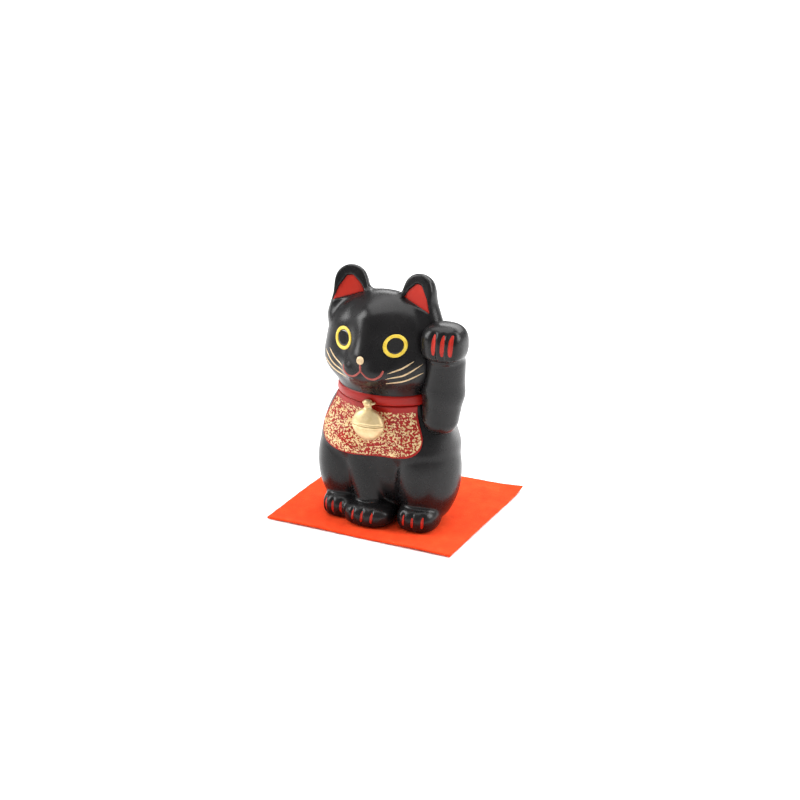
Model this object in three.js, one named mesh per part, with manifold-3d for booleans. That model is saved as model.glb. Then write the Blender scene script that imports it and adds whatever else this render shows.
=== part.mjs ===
// Hollow ceramic beckoning cat with a hanging bell, seated on a loose felt mat.
// Millimetres, +Z up, the cat faces -Y and its own left is +X. Origin: middle of the mat's underside.
import * as THREE from "three";
import { mergeVertices } from "three/addons/utils/BufferGeometryUtils.js";
import Module from "manifold-3d";

const wasm = await Module();
wasm.setup();

// ---- felt mat
const MAT_WIDTH = 120;
const MAT_DEPTH = 106.7;
const MAT_THICK = 1.2;
const MAT_CORNER = 0.8;

// ---- the cat as a whole
const GAP = 0.3;
const CAT_X = 2;
const CAT_Y = -11;
const CAT_Z = MAT_THICK + GAP;
const BODY_WIDTH = 1;
const BODY_HEIGHT = 1;
const WALL = 4;

// ---- torso, lengths from the middle of the cat's footprint
const CORE = { c: [0, 9, 38], r: [37, 29, 46] };
const CHEST = { c: [0, -4, 58], r: [38, 18, 31] };
const NECK = { c: [0, -5, 84], r: [28.5, 21.5, 22] };
const CHEST_BLEND = 6;
const LEFT_HAUNCH = { c: [24.4, -1, 31], r: [19.2, 23, 33] };
const RIGHT_HAUNCH = { c: [-26.2, -1, 31], r: [19.2, 23, 33] };
const LEG_TOP = [-14.5, -12, 46];
const LEG_TOP_R = 12.5;
const LEG_FOOT = [-5.8, -15.5, 11];
const LEG_FOOT_R = 8.8;
const FRONT_PAW = { c: [-4.4, -19.8, 5.5], r: [15.2, 12.4, 7.8] };
const LEFT_PAW = { c: [25, -14, 6], r: [12.2, 12.5, 8.6] };
const RIGHT_PAW = { c: [-25.3, -14, 6], r: [10.8, 12.5, 8.6] };
const PAW_SQUARE = 2.6;
const TAIL = [[-5, 31, 10], [-11, 35, 20], [-11, 35.5, 31]];
const TAIL_R = 6.2;
const TAIL_BLEND = 6;
const TAIL_TAPER = 0.8;
const FOLD_LOW = 2.5;
const FOLD_HIGH = 10.5;
const FOLD_Z = [36, 48];
const PAW_BLEND = 2.5;
const HOLLOW_BLEND = 8;
const FAR = 250;
const SEAM_Z = 80 * BODY_HEIGHT;
const NECK_AXIS_Y = CHEST.c[1] * BODY_WIDTH;
const SPIGOT_R = 13.5;
const SPIGOT_H = 4;
const SPIGOT_WALL = 3;
const SPIGOT_ROOT = 5;
const SOCKET_H = 12;
const CASTING_HOLE_R = 8;
const CASTING_HOLE_Y = 4;

// ---- head
const HEAD_FLOOR = 10;
const HEAD_HOLLOW_TOP = 132 * BODY_HEIGHT;
const SKULL = { c: [0, -8.5, 111], r: [35.2, 23, 28.8] };
const CHEEKS = { c: [0, -10.5, 99], r: [36, 23, 19] };
const MUZZLE = { c: [0, -31, 99.5], r: [12, 7, 7.5] };
const BRIDGE = [[0, -22, 124], [0, -31.2, 108], 8.5, 6.5];
const WHISKER_PAD = { c: [6, -32.6, 99.3], r: [7.5, 6.4, 6] };
const SKULL_BLEND = 8;
const SNOUT_BLEND = 9;
const SMALL_BLEND = 3;
const NECK_BLEND = 7;
const EAR_SEAT_BLEND = 3.5;
const NOSE_BUMP = { c: [0, -35.2, 107], r: [3.4, 3, 3.2] };
const EAR_OUTER = [27.2, -8, 122];
const EAR_INNER = [14, -8, 125];
const EAR_ROOT_R = 9.2;
const EAR_TIP = [21.6, -8, 142.2];
const EAR_TIP_R = 8.2;
const EAR_TURN = 0.18;
const EAR_BLEND = 6;
const EAR_FACE_LOW = [-14.2, 128];
const EAR_FACE_TOP = [-9.8, 147];
const EAR_POCKET = 1.7;
const EAR_PANEL_T = 0.8;
const EAR_PANEL_INSET = 3 * GAP;
const EAR_PANEL_H = 15;
const EAR_PANEL_INNER = [[12, 137.6], [15.4, 142.3], [20, 146.4]];
const EAR_PANEL_OUTER = [[30.8, 131.4], [28.2, 139], [23.4, 146.4]];
const EYE_X = 16.4;
const EYE_Z = 114.7;
const EYE_R = 6.4;
const EYE_RING = 1.9;
const NOSE_Z = 106.8;
const NOSE_W = 4.4;
const NOSE_H = 4.8;

const RING_T = 0.6;
const PUPIL_T = 0.8;
const NOSE_T = 1.1;
const WHISKER_W = 1;
const WHISKERS = [
  [[14.4, 99.6], [21, 102.2], [27, 106.4]],
  [[13.2, 96.2], [22.3, 98.4], [31, 104.4]],
  [[12.3, 92.8], [22, 94.6], [31.5, 99.4]],
];
const MOUTH_W = 1.3;
const MOUTH_HALF = [[12.6, 101.6], [11.4, 98.8], [7.8, 96.6], [3.8, 97.2], [0.8, 100]];
const MOUTH_STEM = [[0, 104.1], [0, 102], [0, 99]];
const MOUTH_JOIN = [[-1.8, 99.2], [0, 100.2], [1.8, 99.2]];

// ---- raised arm
const ARM_ELBOW = [36.8, -11, 70];
const ARM_ELBOW_R = 10.8;
const ARM_MIDDLE = [38.7, -11.5, 86];
const ARM_MIDDLE_R = 12.2;
const ARM_WRIST = [40.8, -13, 104];
const ARM_WRIST_R = 11.4;
const ARM_BLEND = 2;
const ARM_PAW = { c: [41.9, -17, 116.8], r: [12.9, 12.3, 12] };

// ---- collar, bib and bell
const COLLAR_TOP = 83.2;
const COLLAR_LOW = 76.6;
const COLLAR_T = 1.7;
const COLLAR_GAP = 0.5;
const COLLAR_EDGE = 1.2;
const BIB_TOP = 76.1;
const BIB_H = 33;
const BIB_T = 1.1;
const BIB_GAP = 0.5;
const BIB_RIGHT = 75;
const BIB_LEFT = 65;
const BIB_SQUARE = 4.5;
const BIB_SPREAD = 0.985;
const BELL_R = 9.8;
const BELL_FLAT = 0.54;
const BELL_WALL = 0.9;
const BELL_SHANK = 2.9;
const BELL_DROP = BELL_R + BELL_SHANK;
const EYE_TUBE_W = 4.2;
const EYE_TUBE_R = 2.3;
const BELL_LIP = 0.45;
const SLOT_HALF = [5.5, 0.7];
const PIN_R = 0.75;
const BELL_CLEAR = 0.45;
const PIN_Z = 78.3;
const PELLET_R = 1.9;

// ---- claw lines: name, places across, lean, lowest, highest, width
const CLAWS = [
  ["claw_raised", [40.1, 45.4, 49.8], 0.4, 112.6, 124.6, 2.4],
  ["claw_front", [-10.6, -4.4, 1.8], 0.3, 3.2, 9.8, 1.5],
  ["claw_hind_left", [19.8, 25.8, 31.8], 0.2, 3.2, 10.2, 1.5],
  ["claw_hind_right", [-31.8, -26.6, -21.4], -0.2, 3.2, 10.2, 1.5],
];

// ---- enamel lines
const LINE_T = 0.45;

// ---- facet sizes of the glazed surfaces
const TORSO_CELL = 3.8;
const HEAD_CELL = 3.9;
const ARM_CELL = 3.8;
const HOLLOW_CELL = 10;

// ---- colours
const BLACK_GLAZE = [0x0c0b0c, 0.32, 0];
const RED_ENAMEL = [0xb01a10, 0.4, 0];
const BIB_RED = [0x9c120c, 0.45, 0];
const GOLD = [0xd9b565, 0.4, 0.7];
const YELLOW = [0xe8c520, 0.35, 0];
const PUPIL = [0x050505, 0.12, 0];
const MOUTH_RED = [0x8c2018, 0.5, 0];
const FELT = [0xff4a18, 0.95, 0];
const STEEL = [0x8a8a88, 0.4, 0.9];

// ======== distance fields ========
function smoothMin(a, b, k) {
  const h = Math.max(k - Math.abs(a - b), 0) / k;
  return Math.min(a, b) - h * h * k * 0.25;
}

function ellipsoid(p, e, side = 1) {
  const x = p[0] - e.c[0] * side;
  const y = p[1] - e.c[1];
  const z = p[2] - e.c[2];
  const k0 = Math.hypot(x / e.r[0], y / e.r[1], z / e.r[2]);
  const k1 = Math.hypot(x / (e.r[0] * e.r[0]), y / (e.r[1] * e.r[1]), z / (e.r[2] * e.r[2]));
  return k1 < 1e-9 ? -Math.min(...e.r) : (k0 * (k0 - 1)) / k1;
}

// A box with swollen faces, between an ellipsoid and a block.
function cushion(p, e) {
  const q = [0, 1, 2].map((i) => Math.abs(p[i] - e.c[i]) / e.r[i]);
  const size = (q[0] ** PAW_SQUARE + q[1] ** PAW_SQUARE + q[2] ** PAW_SQUARE) ** (1 / PAW_SQUARE);
  return (size - 1) * Math.min(...e.r);
}

function taperedRod(p, a, b, ra, rb) {
  const d = [b[0] - a[0], b[1] - a[1], b[2] - a[2]];
  const len2 = d[0] * d[0] + d[1] * d[1] + d[2] * d[2];
  let t = ((p[0] - a[0]) * d[0] + (p[1] - a[1]) * d[1] + (p[2] - a[2]) * d[2]) / len2;
  t = Math.min(1, Math.max(0, t));
  const q = [a[0] + d[0] * t, a[1] + d[1] * t, a[2] + d[2] * t];
  return Math.hypot(p[0] - q[0], p[1] - q[1], p[2] - q[2]) - (ra + (rb - ra) * t);
}

function trunk(p) {
  const d = smoothMin(ellipsoid(p, CORE), ellipsoid(p, CHEST), CHEST_BLEND);
  return smoothMin(d, ellipsoid(p, NECK), CHEST_BLEND);
}

function torsoField(q) {
  const p = [q[0] / BODY_WIDTH, q[1] / BODY_WIDTH, q[2] / BODY_HEIGHT];
  const rise = Math.min(1, Math.max(0, (p[2] - FOLD_Z[0]) / (FOLD_Z[1] - FOLD_Z[0])));
  const fold = FOLD_LOW + (FOLD_HIGH - FOLD_LOW) * rise * rise * (3 - 2 * rise);
  let d = trunk(p);
  for (const haunch of [LEFT_HAUNCH, RIGHT_HAUNCH]) d = smoothMin(d, ellipsoid(p, haunch), fold);
  d = smoothMin(d, taperedRod(p, LEG_TOP, LEG_FOOT, LEG_TOP_R, LEG_FOOT_R), fold);
  for (const paw of [FRONT_PAW, LEFT_PAW, RIGHT_PAW]) d = smoothMin(d, cushion(p, paw), PAW_BLEND);
  d = smoothMin(d, taperedRod(p, TAIL[0], TAIL[1], TAIL_R, TAIL_R), TAIL_BLEND);
  return smoothMin(d, taperedRod(p, TAIL[1], TAIL[2], TAIL_R, TAIL_R * TAIL_TAPER), TAIL_BLEND);
}

function earField(p, side) {
  const q = [p[0] * side, p[1], p[2]];
  const outer = taperedRod(q, EAR_OUTER, EAR_TIP, EAR_ROOT_R, EAR_TIP_R);
  const inner = taperedRod(q, EAR_INNER, EAR_TIP, EAR_ROOT_R, EAR_TIP_R);
  const cone = smoothMin(outer, inner, EAR_BLEND);
  const slope = (EAR_FACE_TOP[0] - EAR_FACE_LOW[0]) / (EAR_FACE_TOP[1] - EAR_FACE_LOW[1]);
  const turn = EAR_TURN * (q[0] - EAR_TIP[0]);
  const face = EAR_FACE_LOW[0] + (p[2] - EAR_FACE_LOW[1]) * slope - turn - p[1];
  return Math.max(cone, face);
}

function headField(q) {
  const p = [q[0] / BODY_WIDTH, q[1] / BODY_WIDTH, q[2] / BODY_HEIGHT];
  let d = smoothMin(ellipsoid(p, SKULL), ellipsoid(p, CHEEKS), SKULL_BLEND);
  d = smoothMin(d, ellipsoid(p, MUZZLE), SNOUT_BLEND);
  d = smoothMin(d, taperedRod(p, ...BRIDGE), SNOUT_BLEND);
  for (const side of [-1, 1]) d = smoothMin(d, ellipsoid(p, WHISKER_PAD, side), SMALL_BLEND);
  d = smoothMin(d, ellipsoid(p, NOSE_BUMP), SMALL_BLEND);
  d = smoothMin(d, ellipsoid(p, NECK), NECK_BLEND);
  for (const side of [-1, 1]) d = smoothMin(d, earField(p, side), EAR_SEAT_BLEND);
  return d;
}

function torsoHollowField(q) {
  const p = [q[0] / BODY_WIDTH, q[1] / BODY_WIDTH, q[2] / BODY_HEIGHT];
  let d = trunk(p);
  d = smoothMin(d, ellipsoid(p, LEFT_HAUNCH), HOLLOW_BLEND);
  return smoothMin(d, ellipsoid(p, RIGHT_HAUNCH), HOLLOW_BLEND);
}

function headHollowField(q) {
  const p = [q[0] / BODY_WIDTH, q[1] / BODY_WIDTH, q[2] / BODY_HEIGHT];
  return smoothMin(ellipsoid(p, SKULL), ellipsoid(p, CHEEKS), SKULL_BLEND);
}

function neckField(q) {
  const p = [q[0] / BODY_WIDTH, q[1] / BODY_WIDTH, q[2] / BODY_HEIGHT];
  return trunk(p);
}

function armField(q) {
  const p = [q[0] / BODY_WIDTH, q[1] / BODY_WIDTH, q[2] / BODY_HEIGHT];
  const low = taperedRod(p, ARM_ELBOW, ARM_MIDDLE, ARM_ELBOW_R, ARM_MIDDLE_R);
  const high = taperedRod(p, ARM_MIDDLE, ARM_WRIST, ARM_MIDDLE_R, ARM_WRIST_R);
  return smoothMin(smoothMin(low, high, ARM_BLEND), cushion(p, ARM_PAW), SMALL_BLEND);
}

function gradient(field, p) {
  const h = 0.05;
  const g = [0, 0, 0];
  for (let i = 0; i < 3; i++) {
    const a = p.slice();
    const b = p.slice();
    a[i] -= h;
    b[i] += h;
    g[i] = (field(b) - field(a)) / (2 * h);
  }
  return g;
}

// Which corners of a cell hang together: filled ones along edges, empty ones along edges and face diagonals.
function cornerGroups(filled) {
  const group = [0, 1, 2, 3, 4, 5, 6, 7];
  for (let pass = 0; pass < 8; pass++) {
    for (let a = 0; a < 8; a++) {
      for (let b = 0; b < 8; b++) {
        const bits = a ^ b;
        const steps = (bits & 1) + ((bits >> 1) & 1) + ((bits >> 2) & 1);
        if (filled[a] !== filled[b] || steps > (filled[a] ? 1 : 2)) continue;
        const low = Math.min(group[a], group[b]);
        group[a] = low;
        group[b] = low;
      }
    }
  }
  return group;
}

// A closed skin on the zero level of a field: one corner for each patch of surface in each cell.
function fieldSurface(field, low, high, cell) {
  const n = [0, 1, 2].map((i) => Math.ceil((high[i] - low[i]) / cell) + 1);
  const at = (i, j, k) => (k * n[1] + j) * n[0] + i;
  const value = new Float64Array(n[0] * n[1] * n[2]);
  for (let k = 0; k < n[2]; k++) {
    for (let j = 0; j < n[1]; j++) {
      for (let i = 0; i < n[0]; i++) {
        value[at(i, j, k)] = field([low[0] + i * cell, low[1] + j * cell, low[2] + k * cell]) + 1e-7;
      }
    }
  }
  const cells = new Map();
  const points = [];
  for (let k = 0; k < n[2] - 1; k++) {
    for (let j = 0; j < n[1] - 1; j++) {
      for (let i = 0; i < n[0] - 1; i++) {
        const v = [];
        for (let c = 0; c < 8; c++) v.push(value[at(i + (c & 1), j + ((c >> 1) & 1), k + ((c >> 2) & 1))]);
        const filled = v.map((s) => s < 0);
        if (filled.every((f) => f === filled[0])) continue;
        const group = cornerGroups(filled);
        const patches = new Map();
        for (let a = 0; a < 8; a++) {
          for (let axis = 0; axis < 3; axis++) {
            const b = a | (1 << axis);
            if (b === a || filled[a] === filled[b]) continue;
            const key = filled[a] ? group[a] * 8 + group[b] : group[b] * 8 + group[a];
            const t = v[a] / (v[a] - v[b]);
            const sum = patches.get(key) || [0, 0, 0, 0];
            for (let m = 0; m < 3; m++) sum[m] += ((a >> m) & 1) + (m === axis ? t : 0);
            sum[3] += 1;
            patches.set(key, sum);
          }
        }
        const base = [i, j, k].map((s, m) => low[m] + s * cell);
        const ids = new Map();
        for (const [key, sum] of patches) {
          ids.set(key, points.length);
          const start = base.map((s, m) => s + (sum[m] / sum[3]) * cell);
          points.push(settle(field, start, base, cell));
        }
        cells.set(at(i, j, k), { group, ids });
      }
    }
  }
  const index = [];
  for (let k = 1; k < n[2] - 1; k++) {
    for (let j = 1; j < n[1] - 1; j++) {
      for (let i = 1; i < n[0] - 1; i++) {
        for (let axis = 0; axis < 3; axis++) {
          const step = [0, 0, 0];
          step[axis] = 1;
          const va = value[at(i, j, k)];
          const vb = value[at(i + step[0], j + step[1], k + step[2])];
          if (va < 0 === vb < 0) continue;
          const loop = [];
          for (const [u, w] of [[0, 0], [1, 0], [1, 1], [0, 1]]) {
            const c = [i, j, k];
            c[(axis + 1) % 3] -= u;
            c[(axis + 2) % 3] -= w;
            const a = (u << ((axis + 1) % 3)) | (w << ((axis + 2) % 3));
            const b = a | (1 << axis);
            const { group, ids } = cells.get(at(c[0], c[1], c[2]));
            loop.push(ids.get(va < 0 ? group[a] * 8 + group[b] : group[b] * 8 + group[a]));
          }
          if (vb < 0) loop.reverse();
          const apart = (a, b) => Math.hypot(...points[a].map((s, m) => s - points[b][m]));
          if (apart(loop[0], loop[2]) <= apart(loop[1], loop[3])) {
            index.push(loop[0], loop[1], loop[2], loop[0], loop[2], loop[3]);
          } else {
            index.push(loop[1], loop[2], loop[3], loop[1], loop[3], loop[0]);
          }
        }
      }
    }
  }
  return polyhedron(points, index);
}

function settle(field, start, corner, cell) {
  let p = start;
  for (let pass = 0; pass < 4; pass++) {
    const f = field(p);
    const g = gradient(field, p);
    const g2 = g[0] * g[0] + g[1] * g[1] + g[2] * g[2];
    if (g2 < 1e-6) break;
    p = p.map((s, m) => s - (0.8 * f * g[m]) / g2);
    p = p.map((s, m) => Math.min(corner[m] + cell * 0.98, Math.max(corner[m] + cell * 0.02, s)));
  }
  return p;
}

function polyhedron(points, index) {
  const geometry = new THREE.BufferGeometry();
  geometry.setAttribute("position", new THREE.Float32BufferAttribute(points.flat(), 3));
  geometry.setIndex(index);
  return geometry;
}

// ======== joining and cutting ========
function solid(geometry) {
  const bare = new THREE.BufferGeometry();
  bare.setAttribute("position", geometry.attributes.position.clone());
  if (geometry.index) bare.setIndex(geometry.index.clone());
  const merged = mergeVertices(bare, 1e-4);
  return new wasm.Manifold(new wasm.Mesh({
    numProp: 3,
    vertProperties: new Float32Array(merged.attributes.position.array),
    triVerts: new Uint32Array(merged.index.array),
  }));
}

// The field's skin as a solid; a lattice that pinches two facets together is retried slightly finer.
function skinSolid(field, box, cell) {
  for (let pass = 0; pass < 12; pass++) {
    try {
      return solid(fieldSurface(field, box[0], box[1], cell * (1 - 0.013 * pass)));
    } catch (pinched) {
      if (pass === 11) throw pinched;
    }
  }
}

function shapeOf(manifold) {
  const mesh = manifold.getMesh();
  const geometry = new THREE.BufferGeometry();
  geometry.setAttribute("position", new THREE.BufferAttribute(new Float32Array(mesh.vertProperties), 3));
  geometry.setIndex(Array.from(mesh.triVerts));
  return geometry;
}

function block(x0, x1, y0, y1, z0, z1) {
  const box = new THREE.BoxGeometry(x1 - x0, y1 - y0, z1 - z0);
  box.translate((x0 + x1) / 2, (y0 + y1) / 2, (z0 + z1) / 2);
  return solid(box);
}

function upright(r, x, y, z0, z1, sides = 32) {
  const rod = new THREE.CylinderGeometry(r, r, z1 - z0, sides);
  rod.rotateX(Math.PI / 2);
  rod.translate(x, y, (z0 + z1) / 2);
  return solid(rod);
}

// ======== thin pieces that follow the glazed surface ========
// The skin's frontmost point at unscaled x and z.
function frontPoint(field, x0, z0) {
  const x = x0 * BODY_WIDTH;
  const z = z0 * BODY_HEIGHT;
  let y = -70;
  let step = 1;
  while (field([x, y, z]) > 0 && y < 40) {
    y += step;
  }
  let out = y - step;
  let inside = y;
  for (let i = 0; i < 24; i++) {
    const mid = (out + inside) / 2;
    if (field([x, mid, z]) > 0) out = mid;
    else inside = mid;
  }
  return [x, (out + inside) / 2, z];
}

// The skin's point at a bearing from the neck's axis, at unscaled z.
function roundPoint(field, deg, z0) {
  const a = (deg * Math.PI) / 180;
  const z = z0 * BODY_HEIGHT;
  const at = (r) => [Math.sin(a) * r, NECK_AXIS_Y - Math.cos(a) * r, z];
  let inside = 2;
  let out = 90;
  while (field(at(out)) > 0 && out > 3) out -= 1;
  inside = out;
  out += 1;
  for (let i = 0; i < 24; i++) {
    const mid = (out + inside) / 2;
    if (field(at(mid)) > 0) out = mid;
    else inside = mid;
  }
  return at((out + inside) / 2);
}

function lifted(field, p, height) {
  const g = gradient(field, p);
  const size = Math.hypot(...g) || 1;
  return p.map((s, m) => s + (g[m] / size) * height);
}

// A skin of even thickness over a grid of surface points, [row][column]; loop joins last column to first.
function skin(field, grid, gap, thick, loop = false) {
  const rows = grid.length;
  const cols = grid[0].length;
  const points = [];
  for (const height of [gap, gap + thick]) {
    for (const row of grid) {
      for (const p of row) points.push(lifted(field, p, height));
    }
  }
  const at = (layer, r, c) => layer * rows * cols + r * cols + (c % cols);
  const index = [];
  const quad = (a, b, c, d) => index.push(a, b, c, a, c, d);
  const last = loop ? cols : cols - 1;
  for (let r = 0; r < rows - 1; r++) {
    for (let c = 0; c < last; c++) {
      quad(at(1, r, c), at(1, r, c + 1), at(1, r + 1, c + 1), at(1, r + 1, c));
      quad(at(0, r, c), at(0, r + 1, c), at(0, r + 1, c + 1), at(0, r, c + 1));
    }
  }
  for (let c = 0; c < last; c++) {
    quad(at(0, 0, c), at(0, 0, c + 1), at(1, 0, c + 1), at(1, 0, c));
    quad(at(1, rows - 1, c), at(1, rows - 1, c + 1), at(0, rows - 1, c + 1), at(0, rows - 1, c));
  }
  if (!loop) {
    for (let r = 0; r < rows - 1; r++) {
      quad(at(1, r, 0), at(1, r + 1, 0), at(0, r + 1, 0), at(0, r, 0));
      quad(at(0, r, cols - 1), at(0, r + 1, cols - 1), at(1, r + 1, cols - 1), at(1, r, cols - 1));
    }
  }
  return faceOut(polyhedron(points, index));
}

function faceOut(geometry) {
  const p = geometry.attributes.position;
  const t = geometry.index.array;
  const a = new THREE.Vector3();
  const b = new THREE.Vector3();
  const c = new THREE.Vector3();
  let volume = 0;
  for (let i = 0; i < t.length; i += 3) {
    a.fromBufferAttribute(p, t[i]);
    b.fromBufferAttribute(p, t[i + 1]);
    c.fromBufferAttribute(p, t[i + 2]);
    volume += a.dot(b.cross(c));
  }
  if (volume < 0) {
    const flipped = [];
    for (let i = 0; i < t.length; i += 3) flipped.push(t[i], t[i + 2], t[i + 1]);
    geometry.setIndex(flipped);
  }
  return geometry;
}

function disc(field, x, z, rx, rz, gap, thick, n = 5) {
  const grid = [];
  for (let i = 0; i <= n; i++) {
    const row = [];
    for (let j = 0; j <= n; j++) {
      const u = (2 * i) / n - 1;
      const v = (2 * j) / n - 1;
      const du = u * Math.sqrt(1 - (v * v) / 2);
      const dv = v * Math.sqrt(1 - (u * u) / 2);
      row.push(frontPoint(field, x + du * rx, z + dv * rz));
    }
    grid.push(row);
  }
  return skin(field, grid, gap, thick);
}

function ring(field, x, z, outer, inner, gap, thick, sides = 28) {
  const grid = [];
  for (const r of [inner, outer]) {
    const row = [];
    for (let s = 0; s < sides; s++) {
      const a = (s / sides) * Math.PI * 2;
      row.push(frontPoint(field, x + Math.cos(a) * r, z + Math.sin(a) * r));
    }
    grid.push(row);
  }
  return skin(field, grid, gap, thick, true);
}

// A tapered line through the given [x, z] stations.
function line(field, stations, width, taper, gap = GAP, steps = 10) {
  const curve = new THREE.CatmullRomCurve3(stations.map((s) => new THREE.Vector3(s[0], 0, s[1])));
  const left = [];
  const right = [];
  for (let i = 0; i <= steps; i++) {
    const t = i / steps;
    const p = curve.getPoint(t);
    const d = curve.getTangent(t);
    const w = (width / 2) * (1 - taper * Math.abs(2 * t - 1) ** 3);
    left.push(frontPoint(field, p.x - d.z * w, p.z + d.x * w));
    right.push(frontPoint(field, p.x + d.z * w, p.z - d.x * w));
  }
  return skin(field, [left, right], gap, LINE_T);
}

// ======== the pieces ========
function grown(field, by) {
  return (p) => field(p) - by;
}

function scaled(box) {
  return box.map((c) => [c[0] * BODY_WIDTH, c[1] * BODY_WIDTH, c[2] * BODY_HEIGHT]);
}

const TORSO_BOX = scaled([[-54, -40, -14], [54, 52, 112]]);
const HEAD_BOX = scaled([[-44, -44, 54], [44, 24, 158]]);
const ABOVE_SEAM = block(-FAR, FAR, -FAR, FAR, SEAM_Z - GAP / 2, FAR);
const ARM_BOX = scaled([[20, -34, 54], [60, 8, 134]]);
const torsoGrown = skinSolid(grown(torsoField, GAP), TORSO_BOX, TORSO_CELL);
const headGrown = skinSolid(grown(headField, GAP), HEAD_BOX, HEAD_CELL).intersect(ABOVE_SEAM);
const armGrown = skinSolid(grown(armField, GAP), ARM_BOX, ARM_CELL);

function slab(z0, z1) {
  return block(-FAR, FAR, -FAR, FAR, z0, z1);
}

function torsoShell() {
  let body = skinSolid(torsoField, TORSO_BOX, TORSO_CELL);
  body = body.subtract(slab(-FAR, 0));
  body = body.subtract(slab(SEAM_Z - GAP / 2, FAR));
  let hollow = skinSolid(grown(torsoHollowField, -WALL), TORSO_BOX, HOLLOW_CELL);
  hollow = hollow.intersect(slab(WALL, SEAM_Z - WALL));
  body = body.subtract(hollow);
  body = body.add(upright(SPIGOT_R, 0, NECK_AXIS_Y, SEAM_Z - SPIGOT_ROOT, SEAM_Z + SPIGOT_H));
  const bore = SPIGOT_R - SPIGOT_WALL;
  body = body.subtract(upright(bore, 0, NECK_AXIS_Y, SEAM_Z - SOCKET_H, SEAM_Z + SPIGOT_H + 1));
  return shapeOf(body.subtract(upright(CASTING_HOLE_R, 0, CASTING_HOLE_Y, -1, WALL + 2)));
}

function headShell() {
  let head = skinSolid(headField, HEAD_BOX, HEAD_CELL);
  head = head.subtract(slab(-FAR, SEAM_Z + GAP / 2));
  let hollow = skinSolid(grown(headHollowField, -WALL), HEAD_BOX, HOLLOW_CELL);
  hollow = hollow.intersect(slab(SEAM_Z + HEAD_FLOOR, HEAD_HOLLOW_TOP));
  head = head.subtract(hollow);
  head = head.subtract(upright(SPIGOT_R + GAP, 0, NECK_AXIS_Y, SEAM_Z - 1, SEAM_Z + SOCKET_H));
  for (const side of [-1, 1]) head = head.subtract(earPocket(side));
  return shapeOf(head);
}

// Rows of points on the ear's front face, inside the panel's outline shrunk by inset.
function earGrid(side, inset) {
  const curve = (pts) => new THREE.CatmullRomCurve3(pts.map((p) => new THREE.Vector3(p[0], 0, p[1])));
  const inner = curve(EAR_PANEL_INNER);
  const outer = curve(EAR_PANEL_OUTER);
  const face = (q) => earField([q[0] / BODY_WIDTH, q[1] / BODY_WIDTH, q[2] / BODY_HEIGHT], side);
  const grid = [];
  const rows = 5;
  for (let r = 0; r <= rows; r++) {
    const t = inset / EAR_PANEL_H + (r / rows) * (1 - (2 * inset) / EAR_PANEL_H);
    const a = inner.getPoint(t);
    const b = outer.getPoint(t);
    const trim = inset / a.distanceTo(b);
    const row = [];
    for (let c = 0; c <= 4; c++) {
      const p = a.clone().lerp(b, trim + (c / 4) * (1 - 2 * trim));
      row.push(frontPoint(face, side * p.x, p.z));
    }
    grid.push(row);
  }
  return { grid, face };
}

function earPocket(side) {
  const { grid, face } = earGrid(side, 0);
  return solid(skin(face, grid, -EAR_POCKET, EAR_POCKET + 3));
}

function earPanel(side) {
  const { grid, face } = earGrid(side, EAR_PANEL_INSET);
  return skin(face, grid, GAP - EAR_POCKET, EAR_PANEL_T);
}

function raisedArm() {
  const arm = skinSolid(armField, ARM_BOX, ARM_CELL);
  return shapeOf(arm.subtract(torsoGrown).subtract(headGrown));
}

function collarBand() {
  const grid = [];
  for (const z of [COLLAR_LOW, COLLAR_LOW + COLLAR_EDGE, COLLAR_TOP - COLLAR_EDGE, COLLAR_TOP]) {
    const row = [];
    for (let s = 0; s < 48; s++) row.push(roundPoint(neckField, (s / 48) * 360, z));
    grid.push(row);
  }
  const band = solid(skin(neckField, grid, COLLAR_GAP, COLLAR_T, true));
  return shapeOf(band.subtract(armGrown).subtract(headGrown));
}

function bib() {
  const grid = [];
  const cols = 30;
  for (let r = 0; r <= 7; r++) {
    const row = [];
    for (let c = 0; c <= cols; c++) {
      const t = Math.sin((c / cols - 0.5) * Math.PI) * BIB_SPREAD;
      const drop = BIB_H * (1 - Math.abs(t) ** BIB_SQUARE) ** (1 / BIB_SQUARE);
      const deg = t < 0 ? t * BIB_RIGHT : t * BIB_LEFT;
      row.push(roundPoint(torsoField, deg, BIB_TOP - (drop * r) / 7));
    }
    grid.push(row);
  }
  return shapeOf(solid(skin(torsoField, grid, BIB_GAP, BIB_T)).subtract(armGrown));
}

function whisker(side, k) {
  return line(headField, WHISKERS[k].map((s) => [s[0] * side, s[1]]), WHISKER_W, 0.7);
}

function mouthLine() {
  const left = solid(line(headField, MOUTH_HALF, MOUTH_W, 0.4));
  const mirrored = MOUTH_HALF.map((s) => [-s[0], s[1]]).reverse();
  const right = solid(line(headField, mirrored, MOUTH_W, 0.4));
  const stem = solid(line(headField, MOUTH_STEM, MOUTH_W, 0.1));
  const join = solid(line(headField, MOUTH_JOIN, MOUTH_W, 0));
  return shapeOf(left.add(right).add(stem).add(join));
}

function clawLine(field, x, lean, zLow, zHigh, width) {
  const stations = [[x - lean, zLow], [x, (zLow + zHigh) / 2], [x + lean * 0.4, zHigh]];
  return line(field, stations, width, 0.5, GAP, 6);
}

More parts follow.
